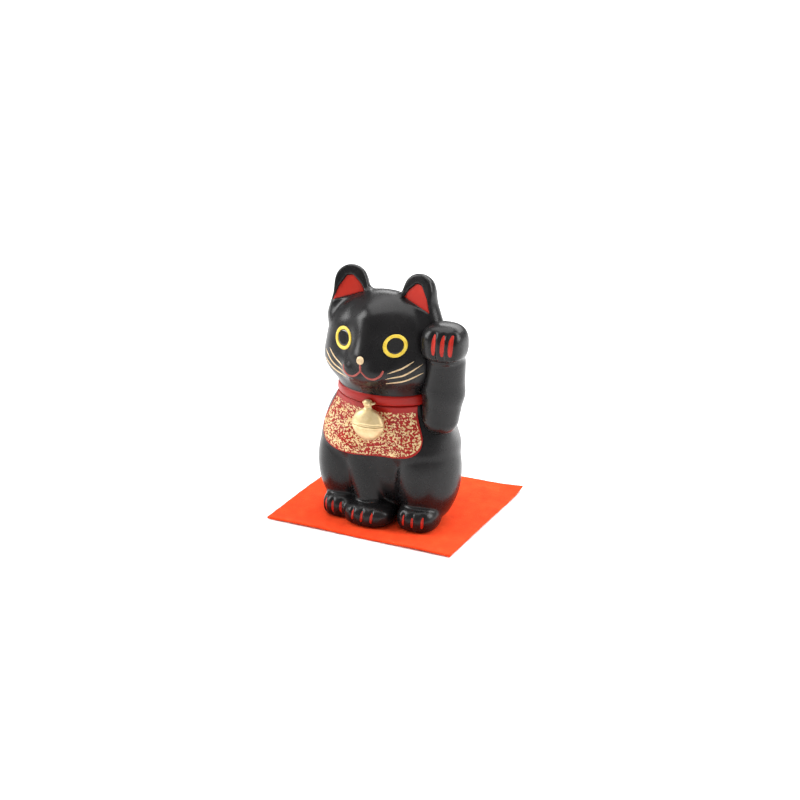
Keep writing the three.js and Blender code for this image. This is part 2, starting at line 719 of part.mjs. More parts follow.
function bellHalf(upper, pin) {
  const outer = [];
  const inner = [];
  const start = 0.025;
  for (let i = 0; i <= 9; i++) {
    const a = start + ((Math.PI / 2 - start - 0.12) * i) / 9;
    outer.push([BELL_R * Math.cos(a), BELL_R * Math.sin(a)]);
  }
  for (let i = 0; i <= 7; i++) {
    const a = start + ((Math.PI / 2 - start - 0.2) * i) / 7;
    inner.push([(BELL_R - BELL_WALL) * Math.cos(a), (BELL_R - BELL_WALL) * Math.sin(a)]);
  }
  const z0 = outer[0][1];
  const profile = [[0, BELL_R - BELL_WALL], ...inner.reverse(), [BELL_R - BELL_WALL, z0]];
  profile.push([BELL_R + 0.35, z0], [BELL_R + BELL_LIP, z0 + 0.5], [BELL_R + 0.1, z0 + 1]);
  profile.push(...outer.filter((p) => p[1] > z0 + 1.2), [0, BELL_R]);
  const turned = new THREE.LatheGeometry(profile.map((p) => new THREE.Vector2(p[0], p[1])), 28);
  turned.rotateX(Math.PI / 2);
  if (!upper) turned.rotateX(Math.PI);
  turned.scale(1, BELL_FLAT, 1);
  turned.translate(pin[0], pin[1], pin[2] - BELL_DROP);
  let half = solid(faceOut(mergeVertices(strip(turned), 1e-4)));
  if (!upper) {
    const zc = pin[2] - BELL_DROP;
    const [w, d] = SLOT_HALF;
    half = half.subtract(block(pin[0] - w, pin[0] + w, pin[1] - d, pin[1] + d, zc - FAR, zc - BELL_R * 0.65));
  }
  return half;
}

function strip(geometry) {
  const bare = new THREE.BufferGeometry();
  bare.setAttribute("position", geometry.attributes.position.clone());
  bare.setIndex(geometry.index.clone());
  return bare;
}

function pinCentre() {
  let y = frontPoint(neckField, 0, PIN_Z)[1] - GAP - COLLAR_T - EYE_TUBE_R - GAP;
  const reach = BELL_R + BELL_LIP;
  for (let k = -8; k <= 8; k++) {
    const dz = (reach * k) / 9;
    const front = frontPoint(torsoField, 0, PIN_Z + (dz - BELL_DROP) / BODY_HEIGHT)[1];
    const depth = reach * BELL_FLAT * Math.sqrt(1 - (dz / reach) ** 2);
    y = Math.min(y, front - BIB_GAP - BIB_T - BELL_CLEAR - depth);
  }
  return [0, y, PIN_Z * BODY_HEIGHT];
}

function bellUpper(pin) {
  const half = bellHalf(true, pin);
  const crown = BELL_R - BELL_DROP;
  const profile = [[0, crown - 0.68], [3.6, crown - 0.95], [2.6, crown + 0.3], [2.1, crown + 1]];
  profile.push([1.9, -0.8], [0, -0.8]);
  const neck = new THREE.LatheGeometry(profile.map((p) => new THREE.Vector2(p[0], p[1])), 24);
  neck.rotateX(Math.PI / 2);
  neck.scale(1, 0.8, 1);
  neck.translate(pin[0], pin[1], pin[2]);
  const tube = new THREE.CylinderGeometry(EYE_TUBE_R, EYE_TUBE_R, EYE_TUBE_W, 24);
  tube.rotateZ(Math.PI / 2);
  tube.translate(pin[0], pin[1], pin[2]);
  const hole = new THREE.CylinderGeometry(PIN_R + GAP, PIN_R + GAP, EYE_TUBE_W + 2, 20);
  hole.rotateZ(Math.PI / 2);
  hole.translate(pin[0], pin[1], pin[2]);
  const shank = solid(faceOut(mergeVertices(strip(neck), 1e-4)));
  return shapeOf(half.add(shank).add(solid(tube)).subtract(solid(hole)));
}

function bellStaple(pin) {
  const x = EYE_TUBE_W / 2 + GAP + PIN_R;
  const back = frontPoint(neckField, 0, PIN_Z)[1] - COLLAR_GAP - COLLAR_T - 2 * GAP;
  const bar = new THREE.CylinderGeometry(PIN_R, PIN_R, x * 2, 12);
  bar.rotateZ(Math.PI / 2);
  bar.translate(pin[0], pin[1], pin[2]);
  let wire = solid(bar);
  for (const side of [-1, 1]) {
    const leg = new THREE.CylinderGeometry(PIN_R, PIN_R, back - pin[1], 12);
    leg.translate(side * x, (back + pin[1]) / 2, pin[2]);
    const knee = new THREE.SphereGeometry(PIN_R, 12, 8);
    knee.translate(side * x, pin[1], pin[2]);
    wire = wire.add(solid(leg)).add(solid(knee));
  }
  return shapeOf(wire);
}

function bellPellet(pin) {
  const ball = new THREE.SphereGeometry(PELLET_R, 16, 10);
  ball.rotateX(Math.PI / 2);
  const low = pin[2] - BELL_DROP - (BELL_R - BELL_WALL);
  ball.translate(pin[0], pin[1], low + PELLET_R + GAP * 2.2);
  return ball;
}

function feltMat() {
  const x = MAT_WIDTH / 2;
  const y = MAT_DEPTH / 2;
  const c = MAT_CORNER;
  const edge = [[-x + c, -y], [x - c, -y], [x, -y + c], [x, y - c], [x - c, y], [-x + c, y], [-x, y - c]];
  edge.push([-x, -y + c]);
  const outline = new THREE.Shape(edge.map((p) => new THREE.Vector2(p[0], p[1])));
  const mat = new THREE.ExtrudeGeometry(outline, { depth: MAT_THICK, bevelEnabled: false });
  return mat;
}

// ======== assembly ========
const cat = new THREE.Group();
cat.name = "beckoning_cat";

function place(name, geometry, look, onMat = false) {
  const [color, roughness, metalness] = look;
  const material = new THREE.MeshStandardMaterial({ color, roughness, metalness });
  if (!onMat) geometry.translate(CAT_X, CAT_Y, CAT_Z);
  geometry.computeVertexNormals();
  const mesh = new THREE.Mesh(geometry, material);
  mesh.name = name;
  cat.add(mesh);
}

function buildBody() {
  place("torso_shell", torsoShell(), BLACK_GLAZE);
  place("head_shell", headShell(), BLACK_GLAZE);
  place("raised_arm", raisedArm(), BLACK_GLAZE);
  place("collar_band", collarBand(), BIB_RED);
  place("bib", bib(), BIB_RED);
}

function buildFace() {
  for (const [side, tag] of [[1, "left"], [-1, "right"]]) {
    place(`ear_panel_${tag}`, earPanel(side), RED_ENAMEL);
    const eyeRing = ring(headField, side * EYE_X, EYE_Z, EYE_R, EYE_R - EYE_RING, GAP, RING_T);
    place(`eye_ring_${tag}`, eyeRing, YELLOW);
    const pupilR = EYE_R - EYE_RING - GAP;
    place(`pupil_${tag}`, disc(headField, side * EYE_X, EYE_Z, pupilR, pupilR, GAP, PUPIL_T), PUPIL);
    for (let k = 0; k < 3; k++) place(`whisker_${tag}_${k + 1}`, whisker(side, k), GOLD);
  }
  place("nose_tip", disc(headField, 0, NOSE_Z, NOSE_W / 2, NOSE_H / 2, GAP, NOSE_T, 6), GOLD);
  place("mouth_line", mouthLine(), MOUTH_RED);
}

function buildClaws() {
  for (const [name, xs, lean, low, high, width] of CLAWS) {
    const field = name === "claw_raised" ? armField : torsoField;
    xs.forEach((x, i) => place(`${name}_${i + 1}`, clawLine(field, x, lean, low, high, width), RED_ENAMEL));
  }
}

function buildBell() {
  const pin = pinCentre();
  place("bell_staple", bellStaple(pin), GOLD);
  place("bell_upper", bellUpper(pin), GOLD);
  place("bell_lower", shapeOf(bellHalf(false, pin)), GOLD);
  place("bell_pellet", bellPellet(pin), STEEL);
}

place("felt_mat", feltMat(), FELT, true);
buildBody();
buildFace();
buildClaws();
buildBell();

export default cat;
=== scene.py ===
import math

import bpy
import numpy as np
from mathutils import Matrix, Vector


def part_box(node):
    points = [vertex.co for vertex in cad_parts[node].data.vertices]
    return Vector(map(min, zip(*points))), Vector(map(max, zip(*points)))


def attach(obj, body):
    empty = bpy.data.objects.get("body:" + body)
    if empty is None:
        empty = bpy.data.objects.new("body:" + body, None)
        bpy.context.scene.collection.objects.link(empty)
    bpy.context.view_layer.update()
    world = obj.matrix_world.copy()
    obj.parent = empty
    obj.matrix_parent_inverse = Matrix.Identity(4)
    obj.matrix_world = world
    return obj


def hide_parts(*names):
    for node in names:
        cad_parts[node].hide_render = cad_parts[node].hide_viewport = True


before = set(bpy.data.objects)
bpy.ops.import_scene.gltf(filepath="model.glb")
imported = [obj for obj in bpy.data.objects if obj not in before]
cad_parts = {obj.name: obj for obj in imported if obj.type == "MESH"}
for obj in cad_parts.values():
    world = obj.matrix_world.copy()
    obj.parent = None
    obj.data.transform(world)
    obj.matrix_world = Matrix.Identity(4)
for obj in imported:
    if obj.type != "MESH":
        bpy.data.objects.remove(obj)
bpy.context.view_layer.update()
MM = 0.001

# ---- where the cat stands in the frame, in millimetres
EYE_MID = (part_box("eye_ring_left")[0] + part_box("eye_ring_right")[1]) / 2
CAT_FORWARD = 11.0
ORIGIN = np.array([EYE_MID.x / MM, -CAT_FORWARD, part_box("torso_shell")[0].z / MM])

# ---- sculpted masses, millimetres from the middle of the cat's footprint
CORE = ((0, 9, 38), (37, 29, 46))
CHEST = ((0, -4, 58), (38, 18, 31))
NECK = ((0, -5, 84), (28.5, 21.5, 22))
CHEST_BLEND = 6
LEFT_HAUNCH = ((24.4, -1, 31), (19.2, 23, 33))
RIGHT_HAUNCH = ((-26.2, -1, 31), (19.2, 23, 33))
LEG = ((-14.5, -12, 46), (-5.8, -15.5, 11), 12.5, 8.8)
FRONT_PAW = ((-4.4, -19.8, 5.5), (15.2, 12.4, 7.8))
LEFT_PAW = ((25, -14, 6), (12.2, 12.5, 8.6))
RIGHT_PAW = ((-25.3, -14, 6), (10.8, 12.5, 8.6))
PAW_SQUARE = 2.6
PAW_BLEND = 2
FOLD_FROM = 36
FOLD_RUN = 12
FOLD_LOW = 2
FOLD_GROWTH = 8.5
TAIL = ((-5, 31, 10), (-11, 35, 20), (-11, 35.5, 31))
TAIL_R = 6.2
TAIL_THIN = 0.8
TAIL_BLEND = 6
SEAM_Z = 80
SEAM_GAP = 0.15
BASE_EDGE = 1.2
CASTING_HOLE_R = 8
CASTING_HOLE_Y = 4
CASTING_HOLE_TOP = 9
CASTING_HOLE_EDGE = 1
SKULL = ((0, -8.5, 111), (35.2, 23, 28.8))
CHEEKS = ((0, -10.5, 99), (36, 23, 19))
MUZZLE = ((0, -31, 99.5), (12, 7, 7.5))
BRIDGE = ((0, -22, 124), (0, -31.2, 108), 8.5, 6.5)
WHISKER_PAD = ((6, -32.6, 99.3), (7.5, 6.4, 6))
NOSE_BUMP = ((0, -35.2, 107), (3.4, 3, 3.2))
CHEEK_BLEND = 8
FACE_BLEND = 9
PAD_BLEND = 2.5
HEAD_NECK_BLEND = 7
EAR_OUTER = (27.2, -8, 122)
EAR_INNER = (14, -8, 125)
EAR_TIP = (21.6, -8, 142.2)
EAR_R = (9.2, 8.2)
EAR_TURN = 0.18
EAR_BLEND = 6
EAR_EDGE = 1.2
EAR_JOIN = 3.5
EAR_FACE = ((-14.2, 128), (-9.8, 147))
EAR_POCKET = 1.2
POCKET_FLOOR_BLEND = 0.6
POCKET_EDGE = 0.9
EAR_PANEL_INNER = ((12, 137.6), (15.4, 142.3), (20, 146.4))
EAR_PANEL_OUTER = ((30.8, 131.4), (28.2, 139), (23.4, 146.4))
ARM_LOW = ((36.8, -11, 70), (38.7, -11.5, 86), 10.8, 12.2)
ARM_HIGH = ((38.7, -11.5, 86), (40.8, -13, 104), 12.2, 11.4)
ARM_PAW = ((41.9, -17, 116.8), (12.9, 12.3, 12))
ARM_BLEND = 2
ARM_PAW_BLEND = 2.2
ARM_GAP = 0.12
# height, half width, depth, front, softness
WRIST_CREASE = (108.3, 1.1, 0.9, -19, 1.2)
EYE = (16.4, 114.7, 6.4, 1.9)
# depth, reach, front, softness, rise above the eye's middle
EYE_SOCKET = (0.9, 9, -18, 2, 1)
# front, depth, half width
PAW_GROOVE = (-20, 0.75, 0.85)
RAISED_GROOVE = (-22, 1.2, 1.5)
GROOVE_END = 0.5
GROOVE_FRONT = 1.0

# group, surface, places across, lean, lowest, highest, width
CLAWS = (
    ("claw_raised", "arm", (40.1, 45.4, 49.8), 0.4, 112.6, 124.6, 2.4),
    ("claw_front", "body", (-10.6, -4.4, 1.8), 0.3, 3.2, 9.8, 1.5),
    ("claw_hind_left", "body", (19.8, 25.8, 31.8), 0.2, 3.2, 10.2, 1.5),
    ("claw_hind_right", "body", (-31.8, -26.6, -21.4), -0.2, 3.2, 10.2, 1.5),
)


# ======== distance fields, on arrays of points in millimetres ========
def smin(a, b, k):
    h = np.maximum(k - np.abs(a - b), 0) / k
    return np.minimum(a, b) - h * h * k * 0.25


def smax(a, b, k):
    return -smin(-a, -b, k)


def ellipsoid(p, shape, side=1):
    c, r = np.array(shape[0], float), np.array(shape[1], float)
    q = p - c * np.array([side, 1, 1])
    k0 = np.linalg.norm(q / r, axis=1)
    k1 = np.linalg.norm(q / (r * r), axis=1)
    return k0 * (k0 - 1) / np.maximum(k1, 1e-9)


def rod(p, a, b, ra, rb):
    a, b = np.array(a, float), np.array(b, float)
    d = b - a
    t = np.clip(((p - a) @ d) / (d @ d), 0, 1)
    return np.linalg.norm(p - (a + t[:, None] * d), axis=1) - (ra + (rb - ra) * t)


def cushion(p, shape):
    """A box with swollen faces, between an ellipsoid and a block."""
    q = np.abs(p - np.array(shape[0])) / np.array(shape[1])
    return ((q ** PAW_SQUARE).sum(1) ** (1 / PAW_SQUARE) - 1) * min(shape[1])


def notch(p, x, low, high, front, depth, width):
    """How far the surface is pushed in along an upright groove at x, on faces ahead of front."""
    rise, fall = np.exp(-(p[:, 2] - low) / GROOVE_END), np.exp((p[:, 2] - high) / GROOVE_END)
    along = 1 / (1 + rise) / (1 + fall)
    ahead = 1 / (1 + np.exp((p[:, 1] - front) / GROOVE_FRONT))
    return depth * np.exp(-(((p[:, 0] - x) / width) ** 2)) * along * ahead


def trunk(p):
    d = smin(ellipsoid(p, CORE), ellipsoid(p, CHEST), CHEST_BLEND)
    return smin(d, ellipsoid(p, NECK), CHEST_BLEND)


def body_field(p):
    d = trunk(p)
    rise = np.clip((p[:, 2] - FOLD_FROM) / FOLD_RUN, 0, 1)
    fold = FOLD_LOW + FOLD_GROWTH * rise * rise * (3 - 2 * rise)
    for haunch in (LEFT_HAUNCH, RIGHT_HAUNCH):
        d = smin(d, ellipsoid(p, haunch), fold)
    d = smin(d, rod(p, *LEG), fold)
    for paw in (FRONT_PAW, LEFT_PAW, RIGHT_PAW):
        d = smin(d, cushion(p, paw), PAW_BLEND)
    d = smin(d, rod(p, TAIL[0], TAIL[1], TAIL_R, TAIL_R), TAIL_BLEND)
    d = smin(d, rod(p, TAIL[1], TAIL[2], TAIL_R, TAIL_R * TAIL_THIN), TAIL_BLEND)
    for _, _, xs, _, low, high, _ in CLAWS[1:]:
        for x in xs:
            d = d + notch(p, x, low - 1, high + 1, *PAW_GROOVE)
    return d


def torso_field(p):
    d = body_field(p)
    d = smax(d, -p[:, 2], BASE_EDGE)
    d = np.maximum(d, p[:, 2] - SEAM_Z + SEAM_GAP)
    hole = np.hypot(p[:, 0], p[:, 1] - CASTING_HOLE_Y) - CASTING_HOLE_R
    return smax(d, -np.maximum(hole, p[:, 2] - CASTING_HOLE_TOP), CASTING_HOLE_EDGE)


def ear_face(p):
    (y0, z0), (y1, z1) = EAR_FACE
    turn = EAR_TURN * (np.abs(p[:, 0]) - EAR_TIP[0])
    return y0 + (p[:, 2] - z0) * (y1 - y0) / (z1 - z0) - turn - p[:, 1]


def ear_cone(p, side):
    q = p * np.array([side, 1, 1])
    return smin(rod(q, EAR_OUTER, EAR_TIP, *EAR_R), rod(q, EAR_INNER, EAR_TIP, *EAR_R), EAR_BLEND)


def ear_field(p, side):
    return smax(ear_cone(p, side), ear_face(p), EAR_EDGE)


def panel_outline(p, side):
    corners = list(EAR_PANEL_INNER) + list(reversed(EAR_PANEL_OUTER))
    d = np.full(len(p), -1e3)
    for (x0, z0), (x1, z1) in zip(corners, corners[1:] + corners[:1]):
        size = math.hypot(x1 - x0, z1 - z0)
        out = (-(z1 - z0) / size, (x1 - x0) / size)
        d = np.maximum(d, (p[:, 0] * side - x0) * out[0] + (p[:, 2] - z0) * out[1])
    return d


def skin_of_head(p):
    d = smin(ellipsoid(p, SKULL), ellipsoid(p, CHEEKS), CHEEK_BLEND)
    d = smin(d, ellipsoid(p, MUZZLE), FACE_BLEND)
    d = smin(d, rod(p, *BRIDGE), FACE_BLEND)
    for side in (1, -1):
        d = smin(d, ellipsoid(p, WHISKER_PAD, side), PAD_BLEND)
    d = smin(d, ellipsoid(p, NOSE_BUMP), PAD_BLEND)
    depth, reach, front, soft, rise = EYE_SOCKET
    for side in (1, -1):
        away = np.hypot(p[:, 0] - side * EYE[0], p[:, 2] - EYE[1] - rise)
        d = d + depth * np.exp(-((away / reach) ** 2)) / (1 + np.exp((p[:, 1] - front) / soft))
    d = smin(d, ellipsoid(p, NECK), HEAD_NECK_BLEND)
    for side in (1, -1):
        d = smin(d, ear_field(p, side), EAR_JOIN)
    return d


def head_field(p):
    d = skin_of_head(p)
    for side in (1, -1):
        depth = -ear_face(p) - EAR_POCKET
        d = smax(d, -smax(panel_outline(p, side), depth, POCKET_FLOOR_BLEND), POCKET_EDGE)
    return np.maximum(d, SEAM_Z + SEAM_GAP - p[:, 2])


def arm_skin(p):
    d = smin(rod(p, *ARM_LOW), rod(p, *ARM_HIGH), ARM_BLEND)
    d = smin(d, cushion(p, ARM_PAW), ARM_PAW_BLEND)
    _, _, xs, _, low, high, _ = CLAWS[0]
    for x in xs:
        d = d + notch(p, x, low - 2.5, high + 0.5, *RAISED_GROOVE)
    height, half, depth, front, soft = WRIST_CREASE
    ahead = 1 / (1 + np.exp((p[:, 1] - front) / soft))
    return d + depth * np.exp(-(((p[:, 2] - height) / half) ** 2)) * ahead


def arm_field(p):
    d = arm_skin(p)
    d = np.maximum(d, ARM_GAP - body_field(p))
    return np.maximum(d, ARM_GAP - skin_of_head(p))


def gradient(field, p):
    g = np.zeros_like(p)
    for i in range(3):
        step = np.zeros(3)
        step[i] = 0.05
        g[:, i] = (field(p + step) - field(p - step)) / 0.1
    return g


# ======== meshes ========
def make_object(name, verts, faces):
    """verts in cat millimetres; faces as an (n, 4) array or a list."""
    mesh = bpy.data.meshes.new(name)
    pts = (np.asarray(verts) + ORIGIN) * MM
    mesh.from_pydata(pts.tolist(), [], [list(map(int, f)) for f in faces])
    mesh.validate()
    mesh.polygons.foreach_set("use_smooth", [True] * len(mesh.polygons))
    obj = bpy.data.objects.new(name, mesh)
    bpy.context.scene.collection.objects.link(obj)
    return obj


def field_mesh(name, field, low, high, cell):
    """A closed skin on the field's zero level, one corner in each cell it crosses."""
    low = np.array(low, float)
    count = np.ceil((np.array(high) - low) / cell).astype(int) + 1
    axes = [low[i] + cell * np.arange(count[i]) for i in range(3)]
    grid = np.stack(np.meshgrid(*axes, indexing="ij"), -1).reshape(-1, 3)
    value = np.concatenate([field(part) for part in np.array_split(grid, 12)]).reshape(count)
    filled = value < 0
    corners = [(x, y, z) for x in (0, 1) for y in (0, 1) for z in (0, 1)]
    cells = count - 1

    def corner(a, at):
        return a[at[0]:at[0] + cells[0], at[1]:at[1] + cells[1], at[2]:at[2] + cells[2]]

    total = sum(corner(filled, c).astype(int) for c in corners)
    active = (total > 0) & (total < 8)
    where = np.argwhere(active)
    number = np.full(cells, -1)
    number[active] = np.arange(len(where))
    middle = np.zeros((len(where), 3))
    hits = np.zeros(len(where))
    for c in corners:
        for axis in range(3):
            if c[axis]:
                continue
            e = list(c)
            e[axis] = 1
            va, vb = corner(value, c)[active], corner(value, e)[active]
            cross = (va < 0) != (vb < 0)
            t = np.where(cross, va / np.where(cross, va - vb, 1), 0)
            point = np.array(c)[None, :] + t[:, None] * np.eye(3)[axis][None, :]
            middle += point * cross[:, None]
            hits += cross
    verts = low + (where + middle / hits[:, None]) * cell
    for _ in range(3):
        d, g = field(verts), gradient(field, verts)
        move = -g * (d / np.maximum((g * g).sum(1), 0.2))[:, None]
        size = np.linalg.norm(move, axis=1, keepdims=True)
        verts = verts + move * np.minimum(1, 0.35 * cell / np.maximum(size, 1e-9)) * 0.8
    faces = []
    for axis in range(3):
        u, w = (axis + 1) % 3, (axis + 2) % 3
        a = np.moveaxis(filled, axis, 0)[:-1]
        b = np.moveaxis(filled, axis, 0)[1:]
        change = np.moveaxis(a != b, 0, axis)
        for at in np.argwhere(change):
            if at[u] == 0 or at[w] == 0 or at[u] >= cells[u] or at[w] >= cells[w]:
                continue
            loop = []
            for du, dw in ((0, 0), (1, 0), (1, 1), (0, 1)):
                c = at.copy()
                c[u] -= du
                c[w] -= dw
                loop.append(number[tuple(c)])
            faces.append(loop if filled[tuple(at)] else loop[::-1])
    return make_object(name, verts, faces)


def front_points(field, xz, y_from=-46.0, y_to=12.0):
    """Where lines running back along +Y first meet the surface."""
    xz = np.asarray(xz, float)
    ys = np.arange(y_from, y_to, 0.8)
    p = np.zeros((len(xz), len(ys), 3))
    p[..., 0] = xz[:, :1]
    p[..., 2] = xz[:, 1:2]
    p[..., 1] = ys
    inside = field(p.reshape(-1, 3)).reshape(len(xz), len(ys)) < 0
    first = np.maximum(inside.argmax(1), 1)
    out, back = ys[first - 1], ys[first]
    for _ in range(16):
        mid = (out + back) / 2
        hit = field(np.stack([xz[:, 0], mid, xz[:, 1]], 1)) < 0
        back = np.where(hit, mid, back)
        out = np.where(hit, out, mid)
    return np.stack([xz[:, 0], back, xz[:, 1]], 1)


def round_points(field, deg, z, axis_y=-4.0):
    """Where lines from outside towards the upright axis first meet the surface."""
    a = np.radians(deg)
    aim = np.stack([np.sin(a), -np.cos(a)], 1)

    def at(r):
        return np.stack([aim[:, 0] * r, axis_y + aim[:, 1] * r, z], 1)

    radii = np.arange(70, 4, -0.8)
    value = np.stack([field(at(np.full(len(z), r))) for r in radii], 1) < 0
    first = np.maximum(value.argmax(1), 1)
    out, back = radii[first - 1], radii[first]
    for _ in range(16):
        mid = (out + back) / 2
        hit = field(at(mid)) < 0
        back = np.where(hit, mid, back)
        out = np.where(hit, out, mid)
    return at(back)


def laid_skin(name, field, grid, bottom, top, loop=False):
    """A closed thin piece over a grid of surface points (rows, columns, 3), between two heights."""
    rows, cols = grid.shape[:2]
    flat = grid.reshape(-1, 3)
    g = gradient(field, flat)
    g /= np.linalg.norm(g, axis=1, keepdims=True)
    low = np.broadcast_to(bottom, (rows, cols)).reshape(-1, 1)
    high = np.broadcast_to(top, (rows, cols)).reshape(-1, 1)
    verts = np.concatenate([flat + g * low, flat + g * high])
    last = cols if loop else cols - 1

    def at(layer, r, c):
        return layer * rows * cols + r * cols + c % cols

    faces = []
    for r in range(rows - 1):
        for c in range(last):
            faces.append((at(1, r, c), at(1, r, c + 1), at(1, r + 1, c + 1), at(1, r + 1, c)))
            faces.append((at(0, r, c), at(0, r + 1, c), at(0, r + 1, c + 1), at(0, r, c + 1)))
    for c in range(last):
        faces.append((at(0, 0, c), at(0, 0, c + 1), at(1, 0, c + 1), at(1, 0, c)))
        e = rows - 1
        faces.append((at(1, e, c), at(1, e, c + 1), at(0, e, c + 1), at(0, e, c)))
    if not loop:
        for r in range(rows - 1):
            faces.append((at(1, r, 0), at(1, r + 1, 0), at(0, r + 1, 0), at(0, r, 0)))
            e = cols - 1
            faces.append((at(0, r, e), at(0, r + 1, e), at(1, r + 1, e), at(1, r, e)))
    a, b, c = (verts[[f[i] for f in faces]] for i in (0, 1, 2))
    if np.einsum("ij,ij->i", a, np.cross(b, c)).sum() < 0:
        faces = [f[::-1] for f in faces]
    return make_object(name, verts, faces)


def crown(n, power=2.0):
    u = np.linspace(-1, 1, n)
    return (1 - np.abs(u) ** power) ** (1 / power)


def smooth_path(stations, steps):
    """A Catmull-Rom curve through (x, z) stations."""
    p = np.array(stations, float)
    p = np.vstack([2 * p[0] - p[1], p, 2 * p[-1] - p[-2]])
    t = np.linspace(0, len(p) - 3 - 1e-6, steps)
    i = t.astype(int)
    f = (t - i)[:, None]
    a, b, c, d = p[i], p[i + 1], p[i + 2], p[i + 3]
    square, cube = 2 * a - 5 * b + 4 * c - d, 3 * b - 3 * c + d - a
    return 0.5 * (2 * b + (c - a) * f + square * f ** 2 + cube * f ** 3)


def painted_line(name, field, stations, width, height, taper=0.6, sink=0.12, steps=26, across=7, blunt=3.0):
    """A raised brush line, thickest in its middle."""
    path = smooth_path(stations, steps)
    way = np.gradient(path, axis=0)
    way /= np.linalg.norm(way, axis=1, keepdims=True)
    side = np.stack([-way[:, 1], way[:, 0]], 1)
    u = np.linspace(-1, 1, steps)
    half = width / 2 * np.maximum(1 - taper * np.abs(u) ** blunt, 0.12)
    w = np.linspace(-1, 1, across)
    xz = path[None] + side[None] * (half[None, :, None] * w[:, None, None])
    grid = front_points(field, xz.reshape(-1, 2)).reshape(across, steps, 3)
    rise = crown(across)[:, None] * height * (half / half.max())[None, :]
    return laid_skin(name, field, grid, -sink, rise + 0.02)


def disc(name, field, x, z, rx, rz, height, sink=0.2, n=22, power=2.2):
    s = np.linspace(-1, 1, n)
    u, v = np.meshgrid(s, s)
    du, dv = u * np.sqrt(1 - v * v / 2), v * np.sqrt(1 - u * u / 2)
    xz = np.stack([x + du * rx, z + dv * rz], -1)
    grid = front_points(field, xz.reshape(-1, 2)).reshape(n, n, 3)
    rho = np.clip(np.hypot(du, dv), 0, 1)
    return laid_skin(name, field, grid, -sink, height * (1 - rho ** power) ** (1 / power) + 0.02)


def ring(name, field, x, z, outer, inner, height, sink=0.2, sides=96, across=9):
    a = np.linspace(0, 2 * np.pi, sides, endpoint=False)
    r = np.linspace(inner, outer, across)
    xz = np.stack([x + r[:, None] * np.cos(a), z + r[:, None] * np.sin(a)], -1)
    grid = front_points(field, xz.reshape(-1, 2)).reshape(across, sides, 3)
    return laid_skin(name, field, grid, -sink, crown(across, 2.4)[:, None] * height + 0.02, loop=True)


# ======== materials ========
def new_material(name):
    mat = bpy.data.materials.new(name)
    mat.use_nodes = True
    nodes, links = mat.node_tree.nodes, mat.node_tree.links
    shader = nodes["Principled BSDF"]
    return mat, nodes, links, shader


def add(nodes, kind, **inputs):
    node = nodes.new(kind)
    for key, value in inputs.items():
        node.inputs[key.replace("_", " ")].default_value = value
    return node


def ramp(nodes, links, source, stops):
    node = nodes.new("ShaderNodeValToRGB")
    while len(node.color_ramp.elements) < len(stops):
        node.color_ramp.elements.new(0.5)
    for element, (at, colour) in zip(node.color_ramp.elements, stops):
        element.position = at
        element.color = (*colour, 1)
    links.new(source, node.inputs["Fac"])
    return node.outputs["Color"]


def coords(nodes):
    """Object coordinates, in metres."""
    return nodes.new("ShaderNodeTexCoord").outputs["Object"]


def noise(nodes, links, scale, detail=4.0, rough=0.55):
    node = add(nodes, "ShaderNodeTexNoise", Scale=scale, Detail=detail, Roughness=rough)
    links.new(coords(nodes), node.inputs["Vector"])
    return node.outputs["Fac"]


def bump(nodes, links, height, strength, distance, shader, chain=None):
    node = add(nodes, "ShaderNodeBump", Strength=strength, Distance=distance)
    links.new(height, node.inputs["Height"])
    if chain is not None:
        links.new(chain, node.inputs["Normal"])
    links.new(node.outputs["Normal"], shader.inputs["Normal"])
    return node.outputs["Normal"]


def glaze(name, dark, light, rough=(0.28, 0.4), wave=0.25, coat=0.0, shine=0.5):
    """Fired glaze: faint waviness, pinhole texture and an uneven sheen."""
    mat, nodes, links, shader = new_material(name)
    colour = ramp(nodes, links, noise(nodes, links, 70), [(0.35, dark), (0.7, light)])
    links.new(colour, shader.inputs["Base Color"])
    shades = [(0.3, (rough[0],) * 3), (0.7, (rough[1],) * 3)]
    tone = ramp(nodes, links, noise(nodes, links, 160, 6), shades)
    links.new(tone, shader.inputs["Roughness"])
    first = bump(nodes, links, noise(nodes, links, 90, 2), wave, 0.0006, shader)
    bump(nodes, links, noise(nodes, links, 1500, 3), 0.08, 0.0002, shader, first)
    shader.inputs["Coat Weight"].default_value = coat
    shader.inputs["Specular IOR Level"].default_value = shine
    shader.inputs["Coat Roughness"].default_value = 0.12
    return mat


def paint(name, dark, light, rough, metal=0.0, grain=900, depth=0.15):
    """Brushed-on colour with slight streaks."""
    mat, nodes, links, shader = new_material(name)
    colour = ramp(nodes, links, noise(nodes, links, 260, 5), [(0.3, dark), (0.7, light)])
    links.new(colour, shader.inputs["Base Color"])
    shades = [(0.3, (rough - 0.06,) * 3), (0.7, (rough + 0.08,) * 3)]
    tone = ramp(nodes, links, noise(nodes, links, 500, 5), shades)
    links.new(tone, shader.inputs["Roughness"])
    shader.inputs["Metallic"].default_value = metal
    bump(nodes, links, noise(nodes, links, grain, 4), depth, 0.0003, shader)
    return mat


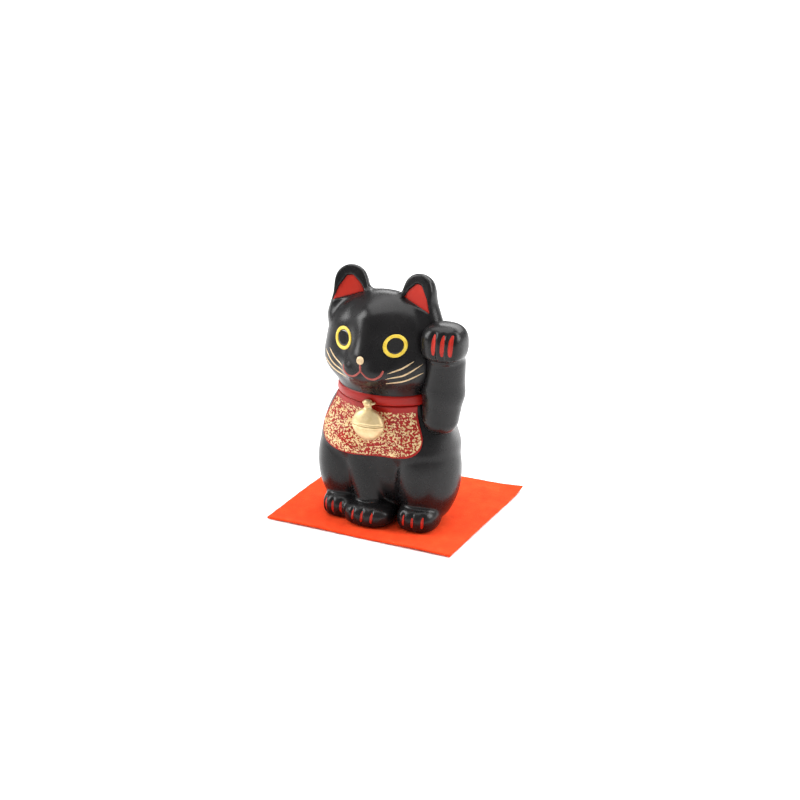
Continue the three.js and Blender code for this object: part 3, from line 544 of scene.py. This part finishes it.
def flecked(name):
    """Deep red strewn with crumbs of gold leaf; the mesh attribute flecks says how thickly."""
    mat, nodes, links, shader = new_material(name)
    where = coords(nodes)
    warp = add(nodes, "ShaderNodeTexNoise", Scale=520.0, Detail=3.0)
    links.new(where, warp.inputs["Vector"])
    mix = add(nodes, "ShaderNodeMixRGB", Fac=0.0009)
    mix.blend_type = "ADD"
    links.new(where, mix.inputs["Color1"])
    links.new(warp.outputs["Color"], mix.inputs["Color2"])
    cells = add(nodes, "ShaderNodeTexVoronoi", Scale=1250.0, Randomness=1.0)
    links.new(mix.outputs["Color"], cells.inputs["Vector"])
    grain = add(nodes, "ShaderNodeTexNoise", Scale=190.0, Detail=4.0, Roughness=0.65)
    links.new(where, grain.inputs["Vector"])
    crumbs = add(nodes, "ShaderNodeSeparateColor")
    links.new(cells.outputs["Color"], crumbs.inputs["Color"])
    total = nodes.new("ShaderNodeMath")
    total.operation = "ADD"
    links.new(crumbs.outputs["Red"], total.inputs[0])
    links.new(grain.outputs["Fac"], total.inputs[1])
    amount = nodes.new("ShaderNodeAttribute")
    amount.attribute_name = "flecks"
    thick = nodes.new("ShaderNodeMath")
    thick.operation = "ADD"
    links.new(total.outputs[0], thick.inputs[0])
    links.new(amount.outputs["Fac"], thick.inputs[1])
    half = nodes.new("ShaderNodeMath")
    half.operation = "MULTIPLY"
    half.inputs[1].default_value = 0.5
    links.new(thick.outputs[0], half.inputs[0])
    mask = ramp(nodes, links, half.outputs[0], [(0.0, (0, 0, 0)), (0.515, (0, 0, 0)), (0.53, (1, 1, 1))])
    reds = [(0.3, (0.27, 0.005, 0.003)), (0.7, (0.4, 0.01, 0.005))]
    red = ramp(nodes, links, noise(nodes, links, 200), reds)
    golds = [(0.3, (0.62, 0.4, 0.15)), (0.7, (0.9, 0.72, 0.42))]
    gold = ramp(nodes, links, noise(nodes, links, 700, 4), golds)
    colour = nodes.new("ShaderNodeMixRGB")
    links.new(mask, colour.inputs["Fac"])
    shader.inputs["Specular IOR Level"].default_value = 0.3
    links.new(red, colour.inputs["Color1"])
    links.new(gold, colour.inputs["Color2"])
    links.new(colour.outputs["Color"], shader.inputs["Base Color"])
    shader.inputs["Roughness"].default_value = 0.42
    bump(nodes, links, mask, 0.7, 0.0003, shader)
    return mat


def felt(name):
    """Pressed wool: mottled colour, fine matted fibres and a soft bloom at the edges."""
    mat, nodes, links, shader = new_material(name)
    wools = [(0.3, (0.8, 0.042, 0.006)), (0.55, (0.9, 0.062, 0.01)), (0.75, (0.96, 0.088, 0.018))]
    colour = ramp(nodes, links, noise(nodes, links, 120, 8, 0.7), wools)
    links.new(colour, shader.inputs["Base Color"])
    shader.inputs["Roughness"].default_value = 0.95
    shader.inputs["Sheen Weight"].default_value = 0.12
    shader.inputs["Sheen Roughness"].default_value = 0.5
    shader.inputs["Sheen Tint"].default_value = (1.0, 0.35, 0.2, 1)
    shader.inputs["Specular IOR Level"].default_value = 0.15
    first = bump(nodes, links, noise(nodes, links, 900, 10, 0.75), 0.5, 0.0006, shader)
    bump(nodes, links, noise(nodes, links, 2600, 6, 0.8), 0.35, 0.0003, shader, first)
    return mat


BLACK = glaze("black_glaze", (0.005, 0.0048, 0.005), (0.011, 0.01, 0.0105), (0.24, 0.32), 0.14, 0.0, 0.27)
RED = glaze("red_enamel", (0.4, 0.013, 0.006), (0.53, 0.024, 0.01), (0.35, 0.48), 0.2, 0.0, 0.3)
BIB_RED = glaze("bib_red", (0.28, 0.006, 0.003), (0.4, 0.01, 0.005), (0.34, 0.46), 0.25, 0.0, 0.25)
FLECKED = flecked("bib_flecked")
YELLOW = paint("yellow_enamel", (0.75, 0.5, 0.03), (0.9, 0.68, 0.09), 0.32)
PUPIL = glaze("pupil_glaze", (0.003, 0.003, 0.003), (0.006, 0.005, 0.005), (0.08, 0.14), 0.1, 0.6)
GILT = paint("gilt_line", (0.55, 0.38, 0.2), (0.82, 0.62, 0.38), 0.45, 0.25)
MOUTH = paint("mouth_red", (0.28, 0.04, 0.03), (0.42, 0.07, 0.05), 0.5)
BELL = paint("bell_gold", (0.62, 0.46, 0.22), (0.8, 0.63, 0.36), 0.4, 0.55, 1200, 0.12)
STEEL = paint("pellet_steel", (0.4, 0.4, 0.4), (0.55, 0.55, 0.55), 0.3, 1.0)
FELT = felt("red_felt")


def finish_piece(obj, body, slot, material, *nodes):
    obj.data.materials.clear()
    obj.data.materials.append(material)
    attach(obj, body)
    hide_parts(*nodes)
    return obj


# ======== glazed body ========
torso = field_mesh("torso", torso_field, (-50, -36, -3), (50, 47, 83), 0.95)
finish_piece(torso, "cat", "black_glaze", BLACK, "torso_shell")
head = field_mesh("head", head_field, (-42, -43, 78), (42, 22, 154), 0.85)
finish_piece(head, "cat", "black_glaze", BLACK, "head_shell")
arm = field_mesh("arm", arm_field, (22, -33, 55), (60, 5, 132), 0.7)
finish_piece(arm, "cat", "black_glaze", BLACK, "raised_arm")

# ======== collar and bib ========
COLLAR = (76.6, 83.2, 1.9)
BIB_TOP = 76.3
BIB_H = 33.2
BIB_RIGHT = 75
BIB_LEFT = 65
BIB_SQUARE = 4.5
BIB_T = 1.2
BIB_FOOT_T = 0.35
BIB_ROUND = 0.9
BIB_PLAIN_RIM = 1.6
BIB_BEAD_H = 0.25
BIB_BEAD_W = 0.6


def collar():
    rows, cols = 9, 160
    z = np.linspace(COLLAR[0], COLLAR[1], rows)
    deg = np.linspace(0, 360, cols, endpoint=False)
    zz, dd = np.meshgrid(z, deg, indexing="ij")
    grid = round_points(trunk, dd.ravel(), zz.ravel()).reshape(rows, cols, 3)
    rise = COLLAR[2] * (0.55 + 0.45 * crown(rows, 2.5))[:, None]
    return laid_skin("collar", trunk, grid, 0.05, rise, loop=True)


def bib():
    rows, cols = 44, 150
    t = np.sin(np.linspace(-0.5, 0.5, cols) * np.pi) * 0.985
    drop = BIB_H * (1 - np.abs(t) ** BIB_SQUARE) ** (1 / BIB_SQUARE)
    deg = np.where(t < 0, t * BIB_RIGHT, t * BIB_LEFT)
    v = np.sin(np.linspace(0, 0.5, rows) * np.pi)
    z = BIB_TOP - v[:, None] * drop[None, :]
    dd = np.broadcast_to(deg[None, :], z.shape)
    grid = round_points(body_field, dd.ravel(), z.ravel()).reshape(rows, cols, 3)
    to_side = np.minimum(deg + BIB_RIGHT, BIB_LEFT - deg)[None, :] * 0.55
    to_foot = drop[None, :] * (1 - v[:, None])
    edge = np.minimum(to_side, to_foot)
    rim = np.clip(edge / BIB_PLAIN_RIM, 0, 1)
    rounding = (1 - (1 - np.clip(edge / BIB_ROUND, 0, 1)) ** 2) ** 0.5
    bead = BIB_BEAD_H * np.exp(-((edge - BIB_ROUND) / BIB_BEAD_W) ** 2)
    thick = BIB_FOOT_T + BIB_T * rounding + bead
    obj = laid_skin("bib", body_field, grid, 0.05, thick)
    sparse = np.clip((grid[..., 0] - 2) / 16, 0, 1) * np.clip((grid[..., 2] - 58) / 14, 0, 1)
    top = np.clip((BIB_TOP - 1.5 - grid[..., 2]) / 2.5, 0, 1)
    flecks = -2.0 + 2.0 * rim * top - 0.22 * sparse
    values = np.concatenate([np.full(flecks.size, -2.0), flecks.ravel()])
    layer = obj.data.attributes.new("flecks", "FLOAT", "POINT")
    layer.data.foreach_set("value", values.astype(np.float32))
    return obj


finish_piece(collar(), "cat", "bib_red", BIB_RED, "collar_band")
finish_piece(bib(), "cat", "bib_flecked", FLECKED, "bib")


# ======== face ========
def ear_panel(side, tag):
    inner = smooth_path(EAR_PANEL_INNER, 16)
    outer = smooth_path(EAR_PANEL_OUTER, 16)
    w = np.linspace(0.0, 1.0, 14)
    xz = inner[:, None] + (outer - inner)[:, None] * w[None, :, None]
    centre = xz.reshape(-1, 2).mean(0)
    xz = centre + (xz - centre) * 0.985
    xz = xz * np.array([side, 1])
    (y0, z0), (y1, z1) = EAR_FACE
    grid = np.zeros((*xz.shape[:2], 3))
    grid[..., 0], grid[..., 2] = xz[..., 0], xz[..., 1]
    turn = EAR_TURN * (np.abs(xz[..., 0]) - EAR_TIP[0])
    grid[..., 1] = y0 + (xz[..., 1] - z0) * (y1 - y0) / (z1 - z0) - turn + EAR_POCKET
    obj = laid_skin("ear_panel_" + tag, ear_face, grid, -0.5, 0.22)
    return finish_piece(obj, "cat", "red_enamel", RED, "ear_panel_" + tag)


WHISKERS = (
    ((14.4, 99.6), (21, 102.2), (27, 106.4)),
    ((13.2, 96.2), (22.3, 98.4), (31, 104.4)),
    ((12.3, 92.8), (22, 94.6), (31.5, 99.4)),
)
for side, tag in ((1, "left"), (-1, "right")):
    ear_panel(side, tag)
    x, z, r, band = EYE
    eye = ring("eye_ring_" + tag, skin_of_head, side * x, z, r, r - band, 0.5)
    finish_piece(eye, "cat", "yellow_enamel", YELLOW, "eye_ring_" + tag)
    pupil = disc("pupil_" + tag, skin_of_head, side * x, z, r - band - 0.1, r - band - 0.1, 0.35)
    finish_piece(pupil, "cat", "pupil_glaze", PUPIL, "pupil_" + tag)
    for k, stations in enumerate(WHISKERS):
        name = f"whisker_{tag}_{k + 1}"
        hair = painted_line(name, skin_of_head, [(side * s[0], s[1]) for s in stations], 0.95, 0.3, 0.85)
        finish_piece(hair, "cat", "gilt_line", GILT, name)
nose = disc("nose", skin_of_head, 0, 107, 2.2, 2.4, 1.3)
finish_piece(nose, "cat", "gilt_line", GILT, "nose_tip")


def mouth():
    half = ((12.6, 101.6), (11.4, 98.8), (7.8, 96.6), (3.8, 97.2), (0, 100.6))
    parts = [painted_line("mouth_a", skin_of_head, half, 1.3, 0.3, 0.4)]
    parts.append(painted_line("mouth_b", skin_of_head, [(-x, z) for x, z in half], 1.3, 0.3, 0.4))
    parts.append(painted_line("mouth", skin_of_head, ((0, 104.6), (0, 102.5), (0, 100)), 1.2, 0.3, 0.1))
    with bpy.context.temp_override(active_object=parts[2], selected_editable_objects=parts):
        bpy.ops.object.join()
    return parts[2]


finish_piece(mouth(), "cat", "mouth_red", MOUTH, "mouth_line")

for group, field, xs, lean, low, high, width in CLAWS:
    for k, x in enumerate(xs):
        name = f"{group}_{k + 1}"
        stations = ((x - lean, low), (x, (low + high) / 2), (x + lean * 0.4, high))
        claw = painted_line(name, arm_skin if field == "arm" else body_field, stations, width, 0.3, 0.6)
        finish_piece(claw, "cat", "red_enamel", RED, name)

# ======== bell ========
upper_low, upper_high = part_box("bell_upper")
lower_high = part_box("bell_lower")[1]
BELL_MID = np.array([(upper_low.x + upper_high.x) / 2, (upper_low.y + upper_high.y) / 2,
                     (upper_low.z + lower_high.z) / 2]) / MM - ORIGIN
BELL_R = 9.8
BELL_FLAT = 0.54
BELL_DROP = 12.7
TUBE_R = 2.3
TUBE_W = 4.2
PIN_R = 0.75
BELL_WALL = 0.9
BELL_NECK_R = 3.3
SHOULDER_Z = 2.9
# distance out from the bell's radius, height above its middle
BELL_RIDGE = ((0.1, 0.12), (0.42, 0.3), (0.5, 0.55), (0.36, 0.85), (0.02, 1.1))
BELL_GROOVE = ((-0.02, 1.6), (0.16, 1.9), (0.16, 2.2), (-0.18, 2.6))
# radius, height
BELL_STALK = ((2.8, 9.5), (2.4, 10.1), (2.15, 10.8), (2.05, 11.5), (1.95, 12.1), (1.6, 12.5), (0, 12.5))
TUBE_STEPS = 12


def turned(name, profile, flat, sides=72):
    """A closed shape turned about the bell's upright axis; profile starts and ends on the axis."""
    profile = np.array(profile, float)
    a = np.linspace(0, 2 * np.pi, sides, endpoint=False)
    inner = profile[1:-1]
    verts = [(0, 0, profile[0][1])]
    for r, z in inner:
        verts += [(r * math.cos(t), r * math.sin(t) * flat, z) for t in a]
    verts.append((0, 0, profile[-1][1]))
    faces = [(0, 1 + (s + 1) % sides, 1 + s) for s in range(sides)]
    for k in range(len(inner) - 1):
        b = 1 + k * sides
        for s in range(sides):
            n = (s + 1) % sides
            faces.append((b + s, b + n, b + sides + n, b + sides + s))
    b, end = 1 + (len(inner) - 1) * sides, len(verts) - 1
    faces += [(b + s, b + (s + 1) % sides, end) for s in range(sides)]
    return make_object(name, np.array(verts) + BELL_MID, faces)


def bell_half(sign):
    arc = np.linspace(0.05, np.pi / 2 - 0.02, 22)
    out = [(BELL_R * math.cos(t), BELL_R * math.sin(t)) for t in arc]
    bands = [(BELL_R + away, z) for away, z in BELL_RIDGE + BELL_GROOVE]
    body = [p for p in out if p[1] > SHOULDER_Z]
    hollow_r = BELL_R - BELL_WALL
    wall = [(hollow_r * math.cos(t), hollow_r * math.sin(t)) for t in arc[::-1]]
    wall[-1] = (hollow_r, BELL_RIDGE[0][1])
    profile = [(0, hollow_r)] + wall + bands
    if sign > 0:
        profile += [p for p in body if p[0] > BELL_NECK_R] + list(BELL_STALK)
    else:
        profile += body + [(0, BELL_R)]
    return [(r, sign * z) for r, z in profile]


def flip_outward(obj):
    """Turns a closed piece's faces round if they face inwards."""
    mesh = obj.data
    volume = 0.0
    for poly in mesh.polygons:
        v = [mesh.vertices[i].co for i in poly.vertices]
        for i in range(1, len(v) - 1):
            volume += v[0].dot(v[i].cross(v[i + 1]))
    if volume < 0:
        mesh.flip_normals()


upper = turned("bell_top_half", bell_half(1), BELL_FLAT)
lower = turned("bell_low_half", bell_half(-1), BELL_FLAT)
for half in (upper, lower):
    flip_outward(half)


def tube_ring(name, length, outer, inner, centre, sides=40):
    """A short tube along X with rounded ends."""
    prof = []
    for k in range(TUBE_STEPS):
        t = 2 * math.pi * k / TUBE_STEPS
        prof.append((math.cos(t) * length / 2 * (0.86 + 0.14 * abs(math.cos(t))),
                     (outer + inner) / 2 + math.sin(t) * (outer - inner) / 2))
    verts, faces = [], []
    for s in range(sides):
        a = 2 * math.pi * s / sides
        verts += [(x, r * math.cos(a), r * math.sin(a)) for x, r in prof]
    for s in range(sides):
        n = (s + 1) % sides
        for k in range(TUBE_STEPS):
            m = (k + 1) % TUBE_STEPS
            b, e = s * TUBE_STEPS, n * TUBE_STEPS
            faces.append((b + k, b + m, e + m, e + k))
    obj = make_object(name, np.array(verts) + centre, faces)
    flip_outward(obj)
    return obj


PIN = BELL_MID + np.array([0, 0, BELL_DROP])
knuckle = tube_ring("bell_eye", TUBE_W, TUBE_R, PIN_R + 0.3, PIN)
for piece in (upper, knuckle):
    finish_piece(piece, "bell", "bell_gold", BELL, "bell_upper")
finish_piece(lower, "bell", "bell_gold", BELL, "bell_lower")


def staple():
    """Bent wire: out of the collar, across through the bell's eye, back into the collar."""
    reach = TUBE_W / 2 + 0.3 + PIN_R
    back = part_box("bell_staple")[1].y / MM - ORIGIN[1]
    path = [(-reach, back), (-reach, PIN[1] + 1.2)]
    for k in range(5):
        t = math.pi / 2 * k / 4
        path.append((-reach + 1.0 - math.cos(t), PIN[1] + 1.0 - math.sin(t)))
    path += [(-x, y) for x, y in reversed(path)]
    path = np.array([(x, y, PIN[2]) for x, y in path])
    way = np.gradient(path, axis=0)
    way /= np.linalg.norm(way, axis=1, keepdims=True)
    up = np.array([0, 0, 1.0])
    verts, faces, sides = [], [], 14
    for p, w in zip(path, way):
        side = np.cross(w, up)
        for s in range(sides):
            a = 2 * math.pi * s / sides
            verts.append(p + PIN_R * (math.cos(a) * side + math.sin(a) * up))
    for k in range(len(path) - 1):
        for s in range(sides):
            n = (s + 1) % sides
            faces.append((k * sides + s, k * sides + n, (k + 1) * sides + n, (k + 1) * sides + s))
    faces.append(tuple(range(sides)))
    faces.append(tuple(reversed([(len(path) - 1) * sides + s for s in range(sides)])))
    obj = make_object("staple", verts, faces)
    flip_outward(obj)
    return obj


finish_piece(staple(), "cat", "bell_gold", BELL, "bell_staple")
pellet_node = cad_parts["bell_pellet"]
pellet_node.data.materials.clear()
pellet_node.data.materials.append(STEEL)

# ======== felt mat ========
MAT_LOW, MAT_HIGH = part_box("felt_mat")
MAT_SIZE = (MAT_HIGH.x - MAT_LOW.x, MAT_HIGH.y - MAT_LOW.y)
MAT_T = MAT_HIGH.z - MAT_LOW.z
MAT_TRIM_FROM = 0.985


def felt_mat():
    """A hand-cut square of felt: flat under the cat, very slightly waved at its free edges."""
    nx, ny = 150, 134
    u, v = np.meshgrid(np.linspace(-1, 1, nx), np.linspace(-1, 1, ny), indexing="ij")
    u = np.sign(u) * np.abs(u) ** 0.97
    edge = np.maximum(np.abs(u), np.abs(v))
    x = u * MAT_SIZE[0] / 2 / MM
    y = v * MAT_SIZE[1] / 2 / MM
    free = np.clip((edge - 0.78) / 0.22, 0, 1) ** 2
    wave = 0.35 * np.sin(x * 0.09 + 1.3) * np.cos(y * 0.07 + 0.4) + 0.35
    curl = 1.6 * np.clip((u + v - 1.62) / 0.38, 0, 1) ** 2
    lift = free * wave + curl
    fuzz = 0.05 * np.sin(x * 3.1 + np.sin(y * 2.3) * 2) * np.sin(y * 2.9 + np.sin(x * 1.7) * 2)
    trim = 0.18 * np.sin(x * 0.31 + y * 0.23) * (edge > MAT_TRIM_FROM)
    x = x - np.sign(x) * np.abs(trim) * (np.abs(u) > MAT_TRIM_FROM)
    y = y - np.sign(y) * np.abs(trim) * (np.abs(v) > MAT_TRIM_FROM)
    thick = MAT_T / MM
    low = np.stack([x, y, lift + 0.02], -1).reshape(-1, 3)
    high = np.stack([x, y, lift + thick - 0.06 + fuzz], -1).reshape(-1, 3)
    verts = np.concatenate([low, high]) - ORIGIN
    faces = []
    n = nx * ny
    for i in range(nx - 1):
        for j in range(ny - 1):
            a, b, c, d = i * ny + j, (i + 1) * ny + j, (i + 1) * ny + j + 1, i * ny + j + 1
            faces.append((n + a, n + b, n + c, n + d))
            faces.append((a, d, c, b))
    for i in range(nx - 1):
        for j, flip in ((0, False), (ny - 1, True)):
            a, b = i * ny + j, (i + 1) * ny + j
            faces.append((a, n + a, n + b, b) if flip else (a, b, n + b, n + a))
    for j in range(ny - 1):
        for i, flip in ((0, True), (nx - 1, False)):
            a, b = i * ny + j, i * ny + j + 1
            faces.append((a, n + a, n + b, b) if flip else (a, b, n + b, n + a))
    return make_object("felt_sheet", verts, faces)


mat_piece = finish_piece(felt_mat(), "mat", "red_felt", FELT, "felt_mat")


# ======== studio, in metres ========
FLOOR_HALF = 6.0
FLOOR_Z = -0.0004
CAMERA_AZIMUTH = 26.45
CAMERA_ELEVATION = 20.79
CAMERA_LENS = 81.0
CAMERA_AT = (0.4459, -0.8926, 0.4462)
WORLD_STRENGTH = 0.4
# name, place, aim, size, watts
LIGHTS = (
    ("left_box", (-1.1, -0.45, 0.75), (0, 0, 0.08), (0.6, 0.9), 15),
    ("right_box", (1.05, 0.3, 0.7), (0, 0, 0.08), (0.6, 0.9), 15),
    ("top_box", (-0.1, 0.15, 1.5), (0, 0, 0.0), (1.5, 1.5), 22),
    ("far_box", (0, 2.9, 1.9), (0, 2.9, 0), (4.0, 2.2), 130),
)


def floor():
    mesh = bpy.data.meshes.new("floor")
    corners = [(x * FLOOR_HALF, y * FLOOR_HALF, FLOOR_Z) for x, y in ((-1, -1), (1, -1), (1, 1), (-1, 1))]
    mesh.from_pydata(corners, [], [(0, 1, 2, 3)])
    obj = bpy.data.objects.new("floor", mesh)
    bpy.context.scene.collection.objects.link(obj)
    mat, nodes, links, shader = new_material("floor")
    colour = ramp(nodes, links, noise(nodes, links, 8), [(0.3, (0.9,) * 3), (0.7, (0.92,) * 3)])
    links.new(colour, shader.inputs["Base Color"])
    shader.inputs["Roughness"].default_value = 0.9
    shader.inputs["Specular IOR Level"].default_value = 0.1
    mesh.materials.append(mat)


def area_light(name, at, aim, size, power):
    light = bpy.data.lights.new(name, "AREA")
    light.shape = "RECTANGLE"
    light.size, light.size_y = size
    light.energy = power
    obj = bpy.data.objects.new(name, light)
    obj.location = at
    obj.rotation_euler = (Vector(aim) - Vector(at)).to_track_quat("-Z", "Y").to_euler()
    bpy.context.scene.collection.objects.link(obj)


def camera():
    """From the cat's front left, a little above."""
    azimuth, elevation = math.radians(CAMERA_AZIMUTH), math.radians(CAMERA_ELEVATION)
    level = math.cos(elevation)
    back = Vector((math.sin(azimuth) * level, -math.cos(azimuth) * level, math.sin(elevation)))
    right = Vector((math.cos(azimuth), math.sin(azimuth), 0))
    up = back.cross(right)
    cam = bpy.data.cameras.new("camera")
    cam.sensor_width = 36.0
    cam.lens = CAMERA_LENS
    cam.clip_start = 0.01
    obj = bpy.data.objects.new("camera", cam)
    turn = Matrix((right, up, back)).transposed().to_4x4()
    obj.matrix_world = Matrix.Translation(CAMERA_AT) @ turn
    bpy.context.scene.collection.objects.link(obj)
    bpy.context.scene.camera = obj


floor()
camera()
world = bpy.data.worlds.new("studio")
world.use_nodes = True
world.node_tree.nodes["Background"].inputs["Color"].default_value = (1, 1, 1, 1)
world.node_tree.nodes["Background"].inputs["Strength"].default_value = WORLD_STRENGTH
bpy.context.scene.world = world
for light in LIGHTS:
    area_light(*light)
bpy.context.scene.view_settings.view_transform = "Standard"
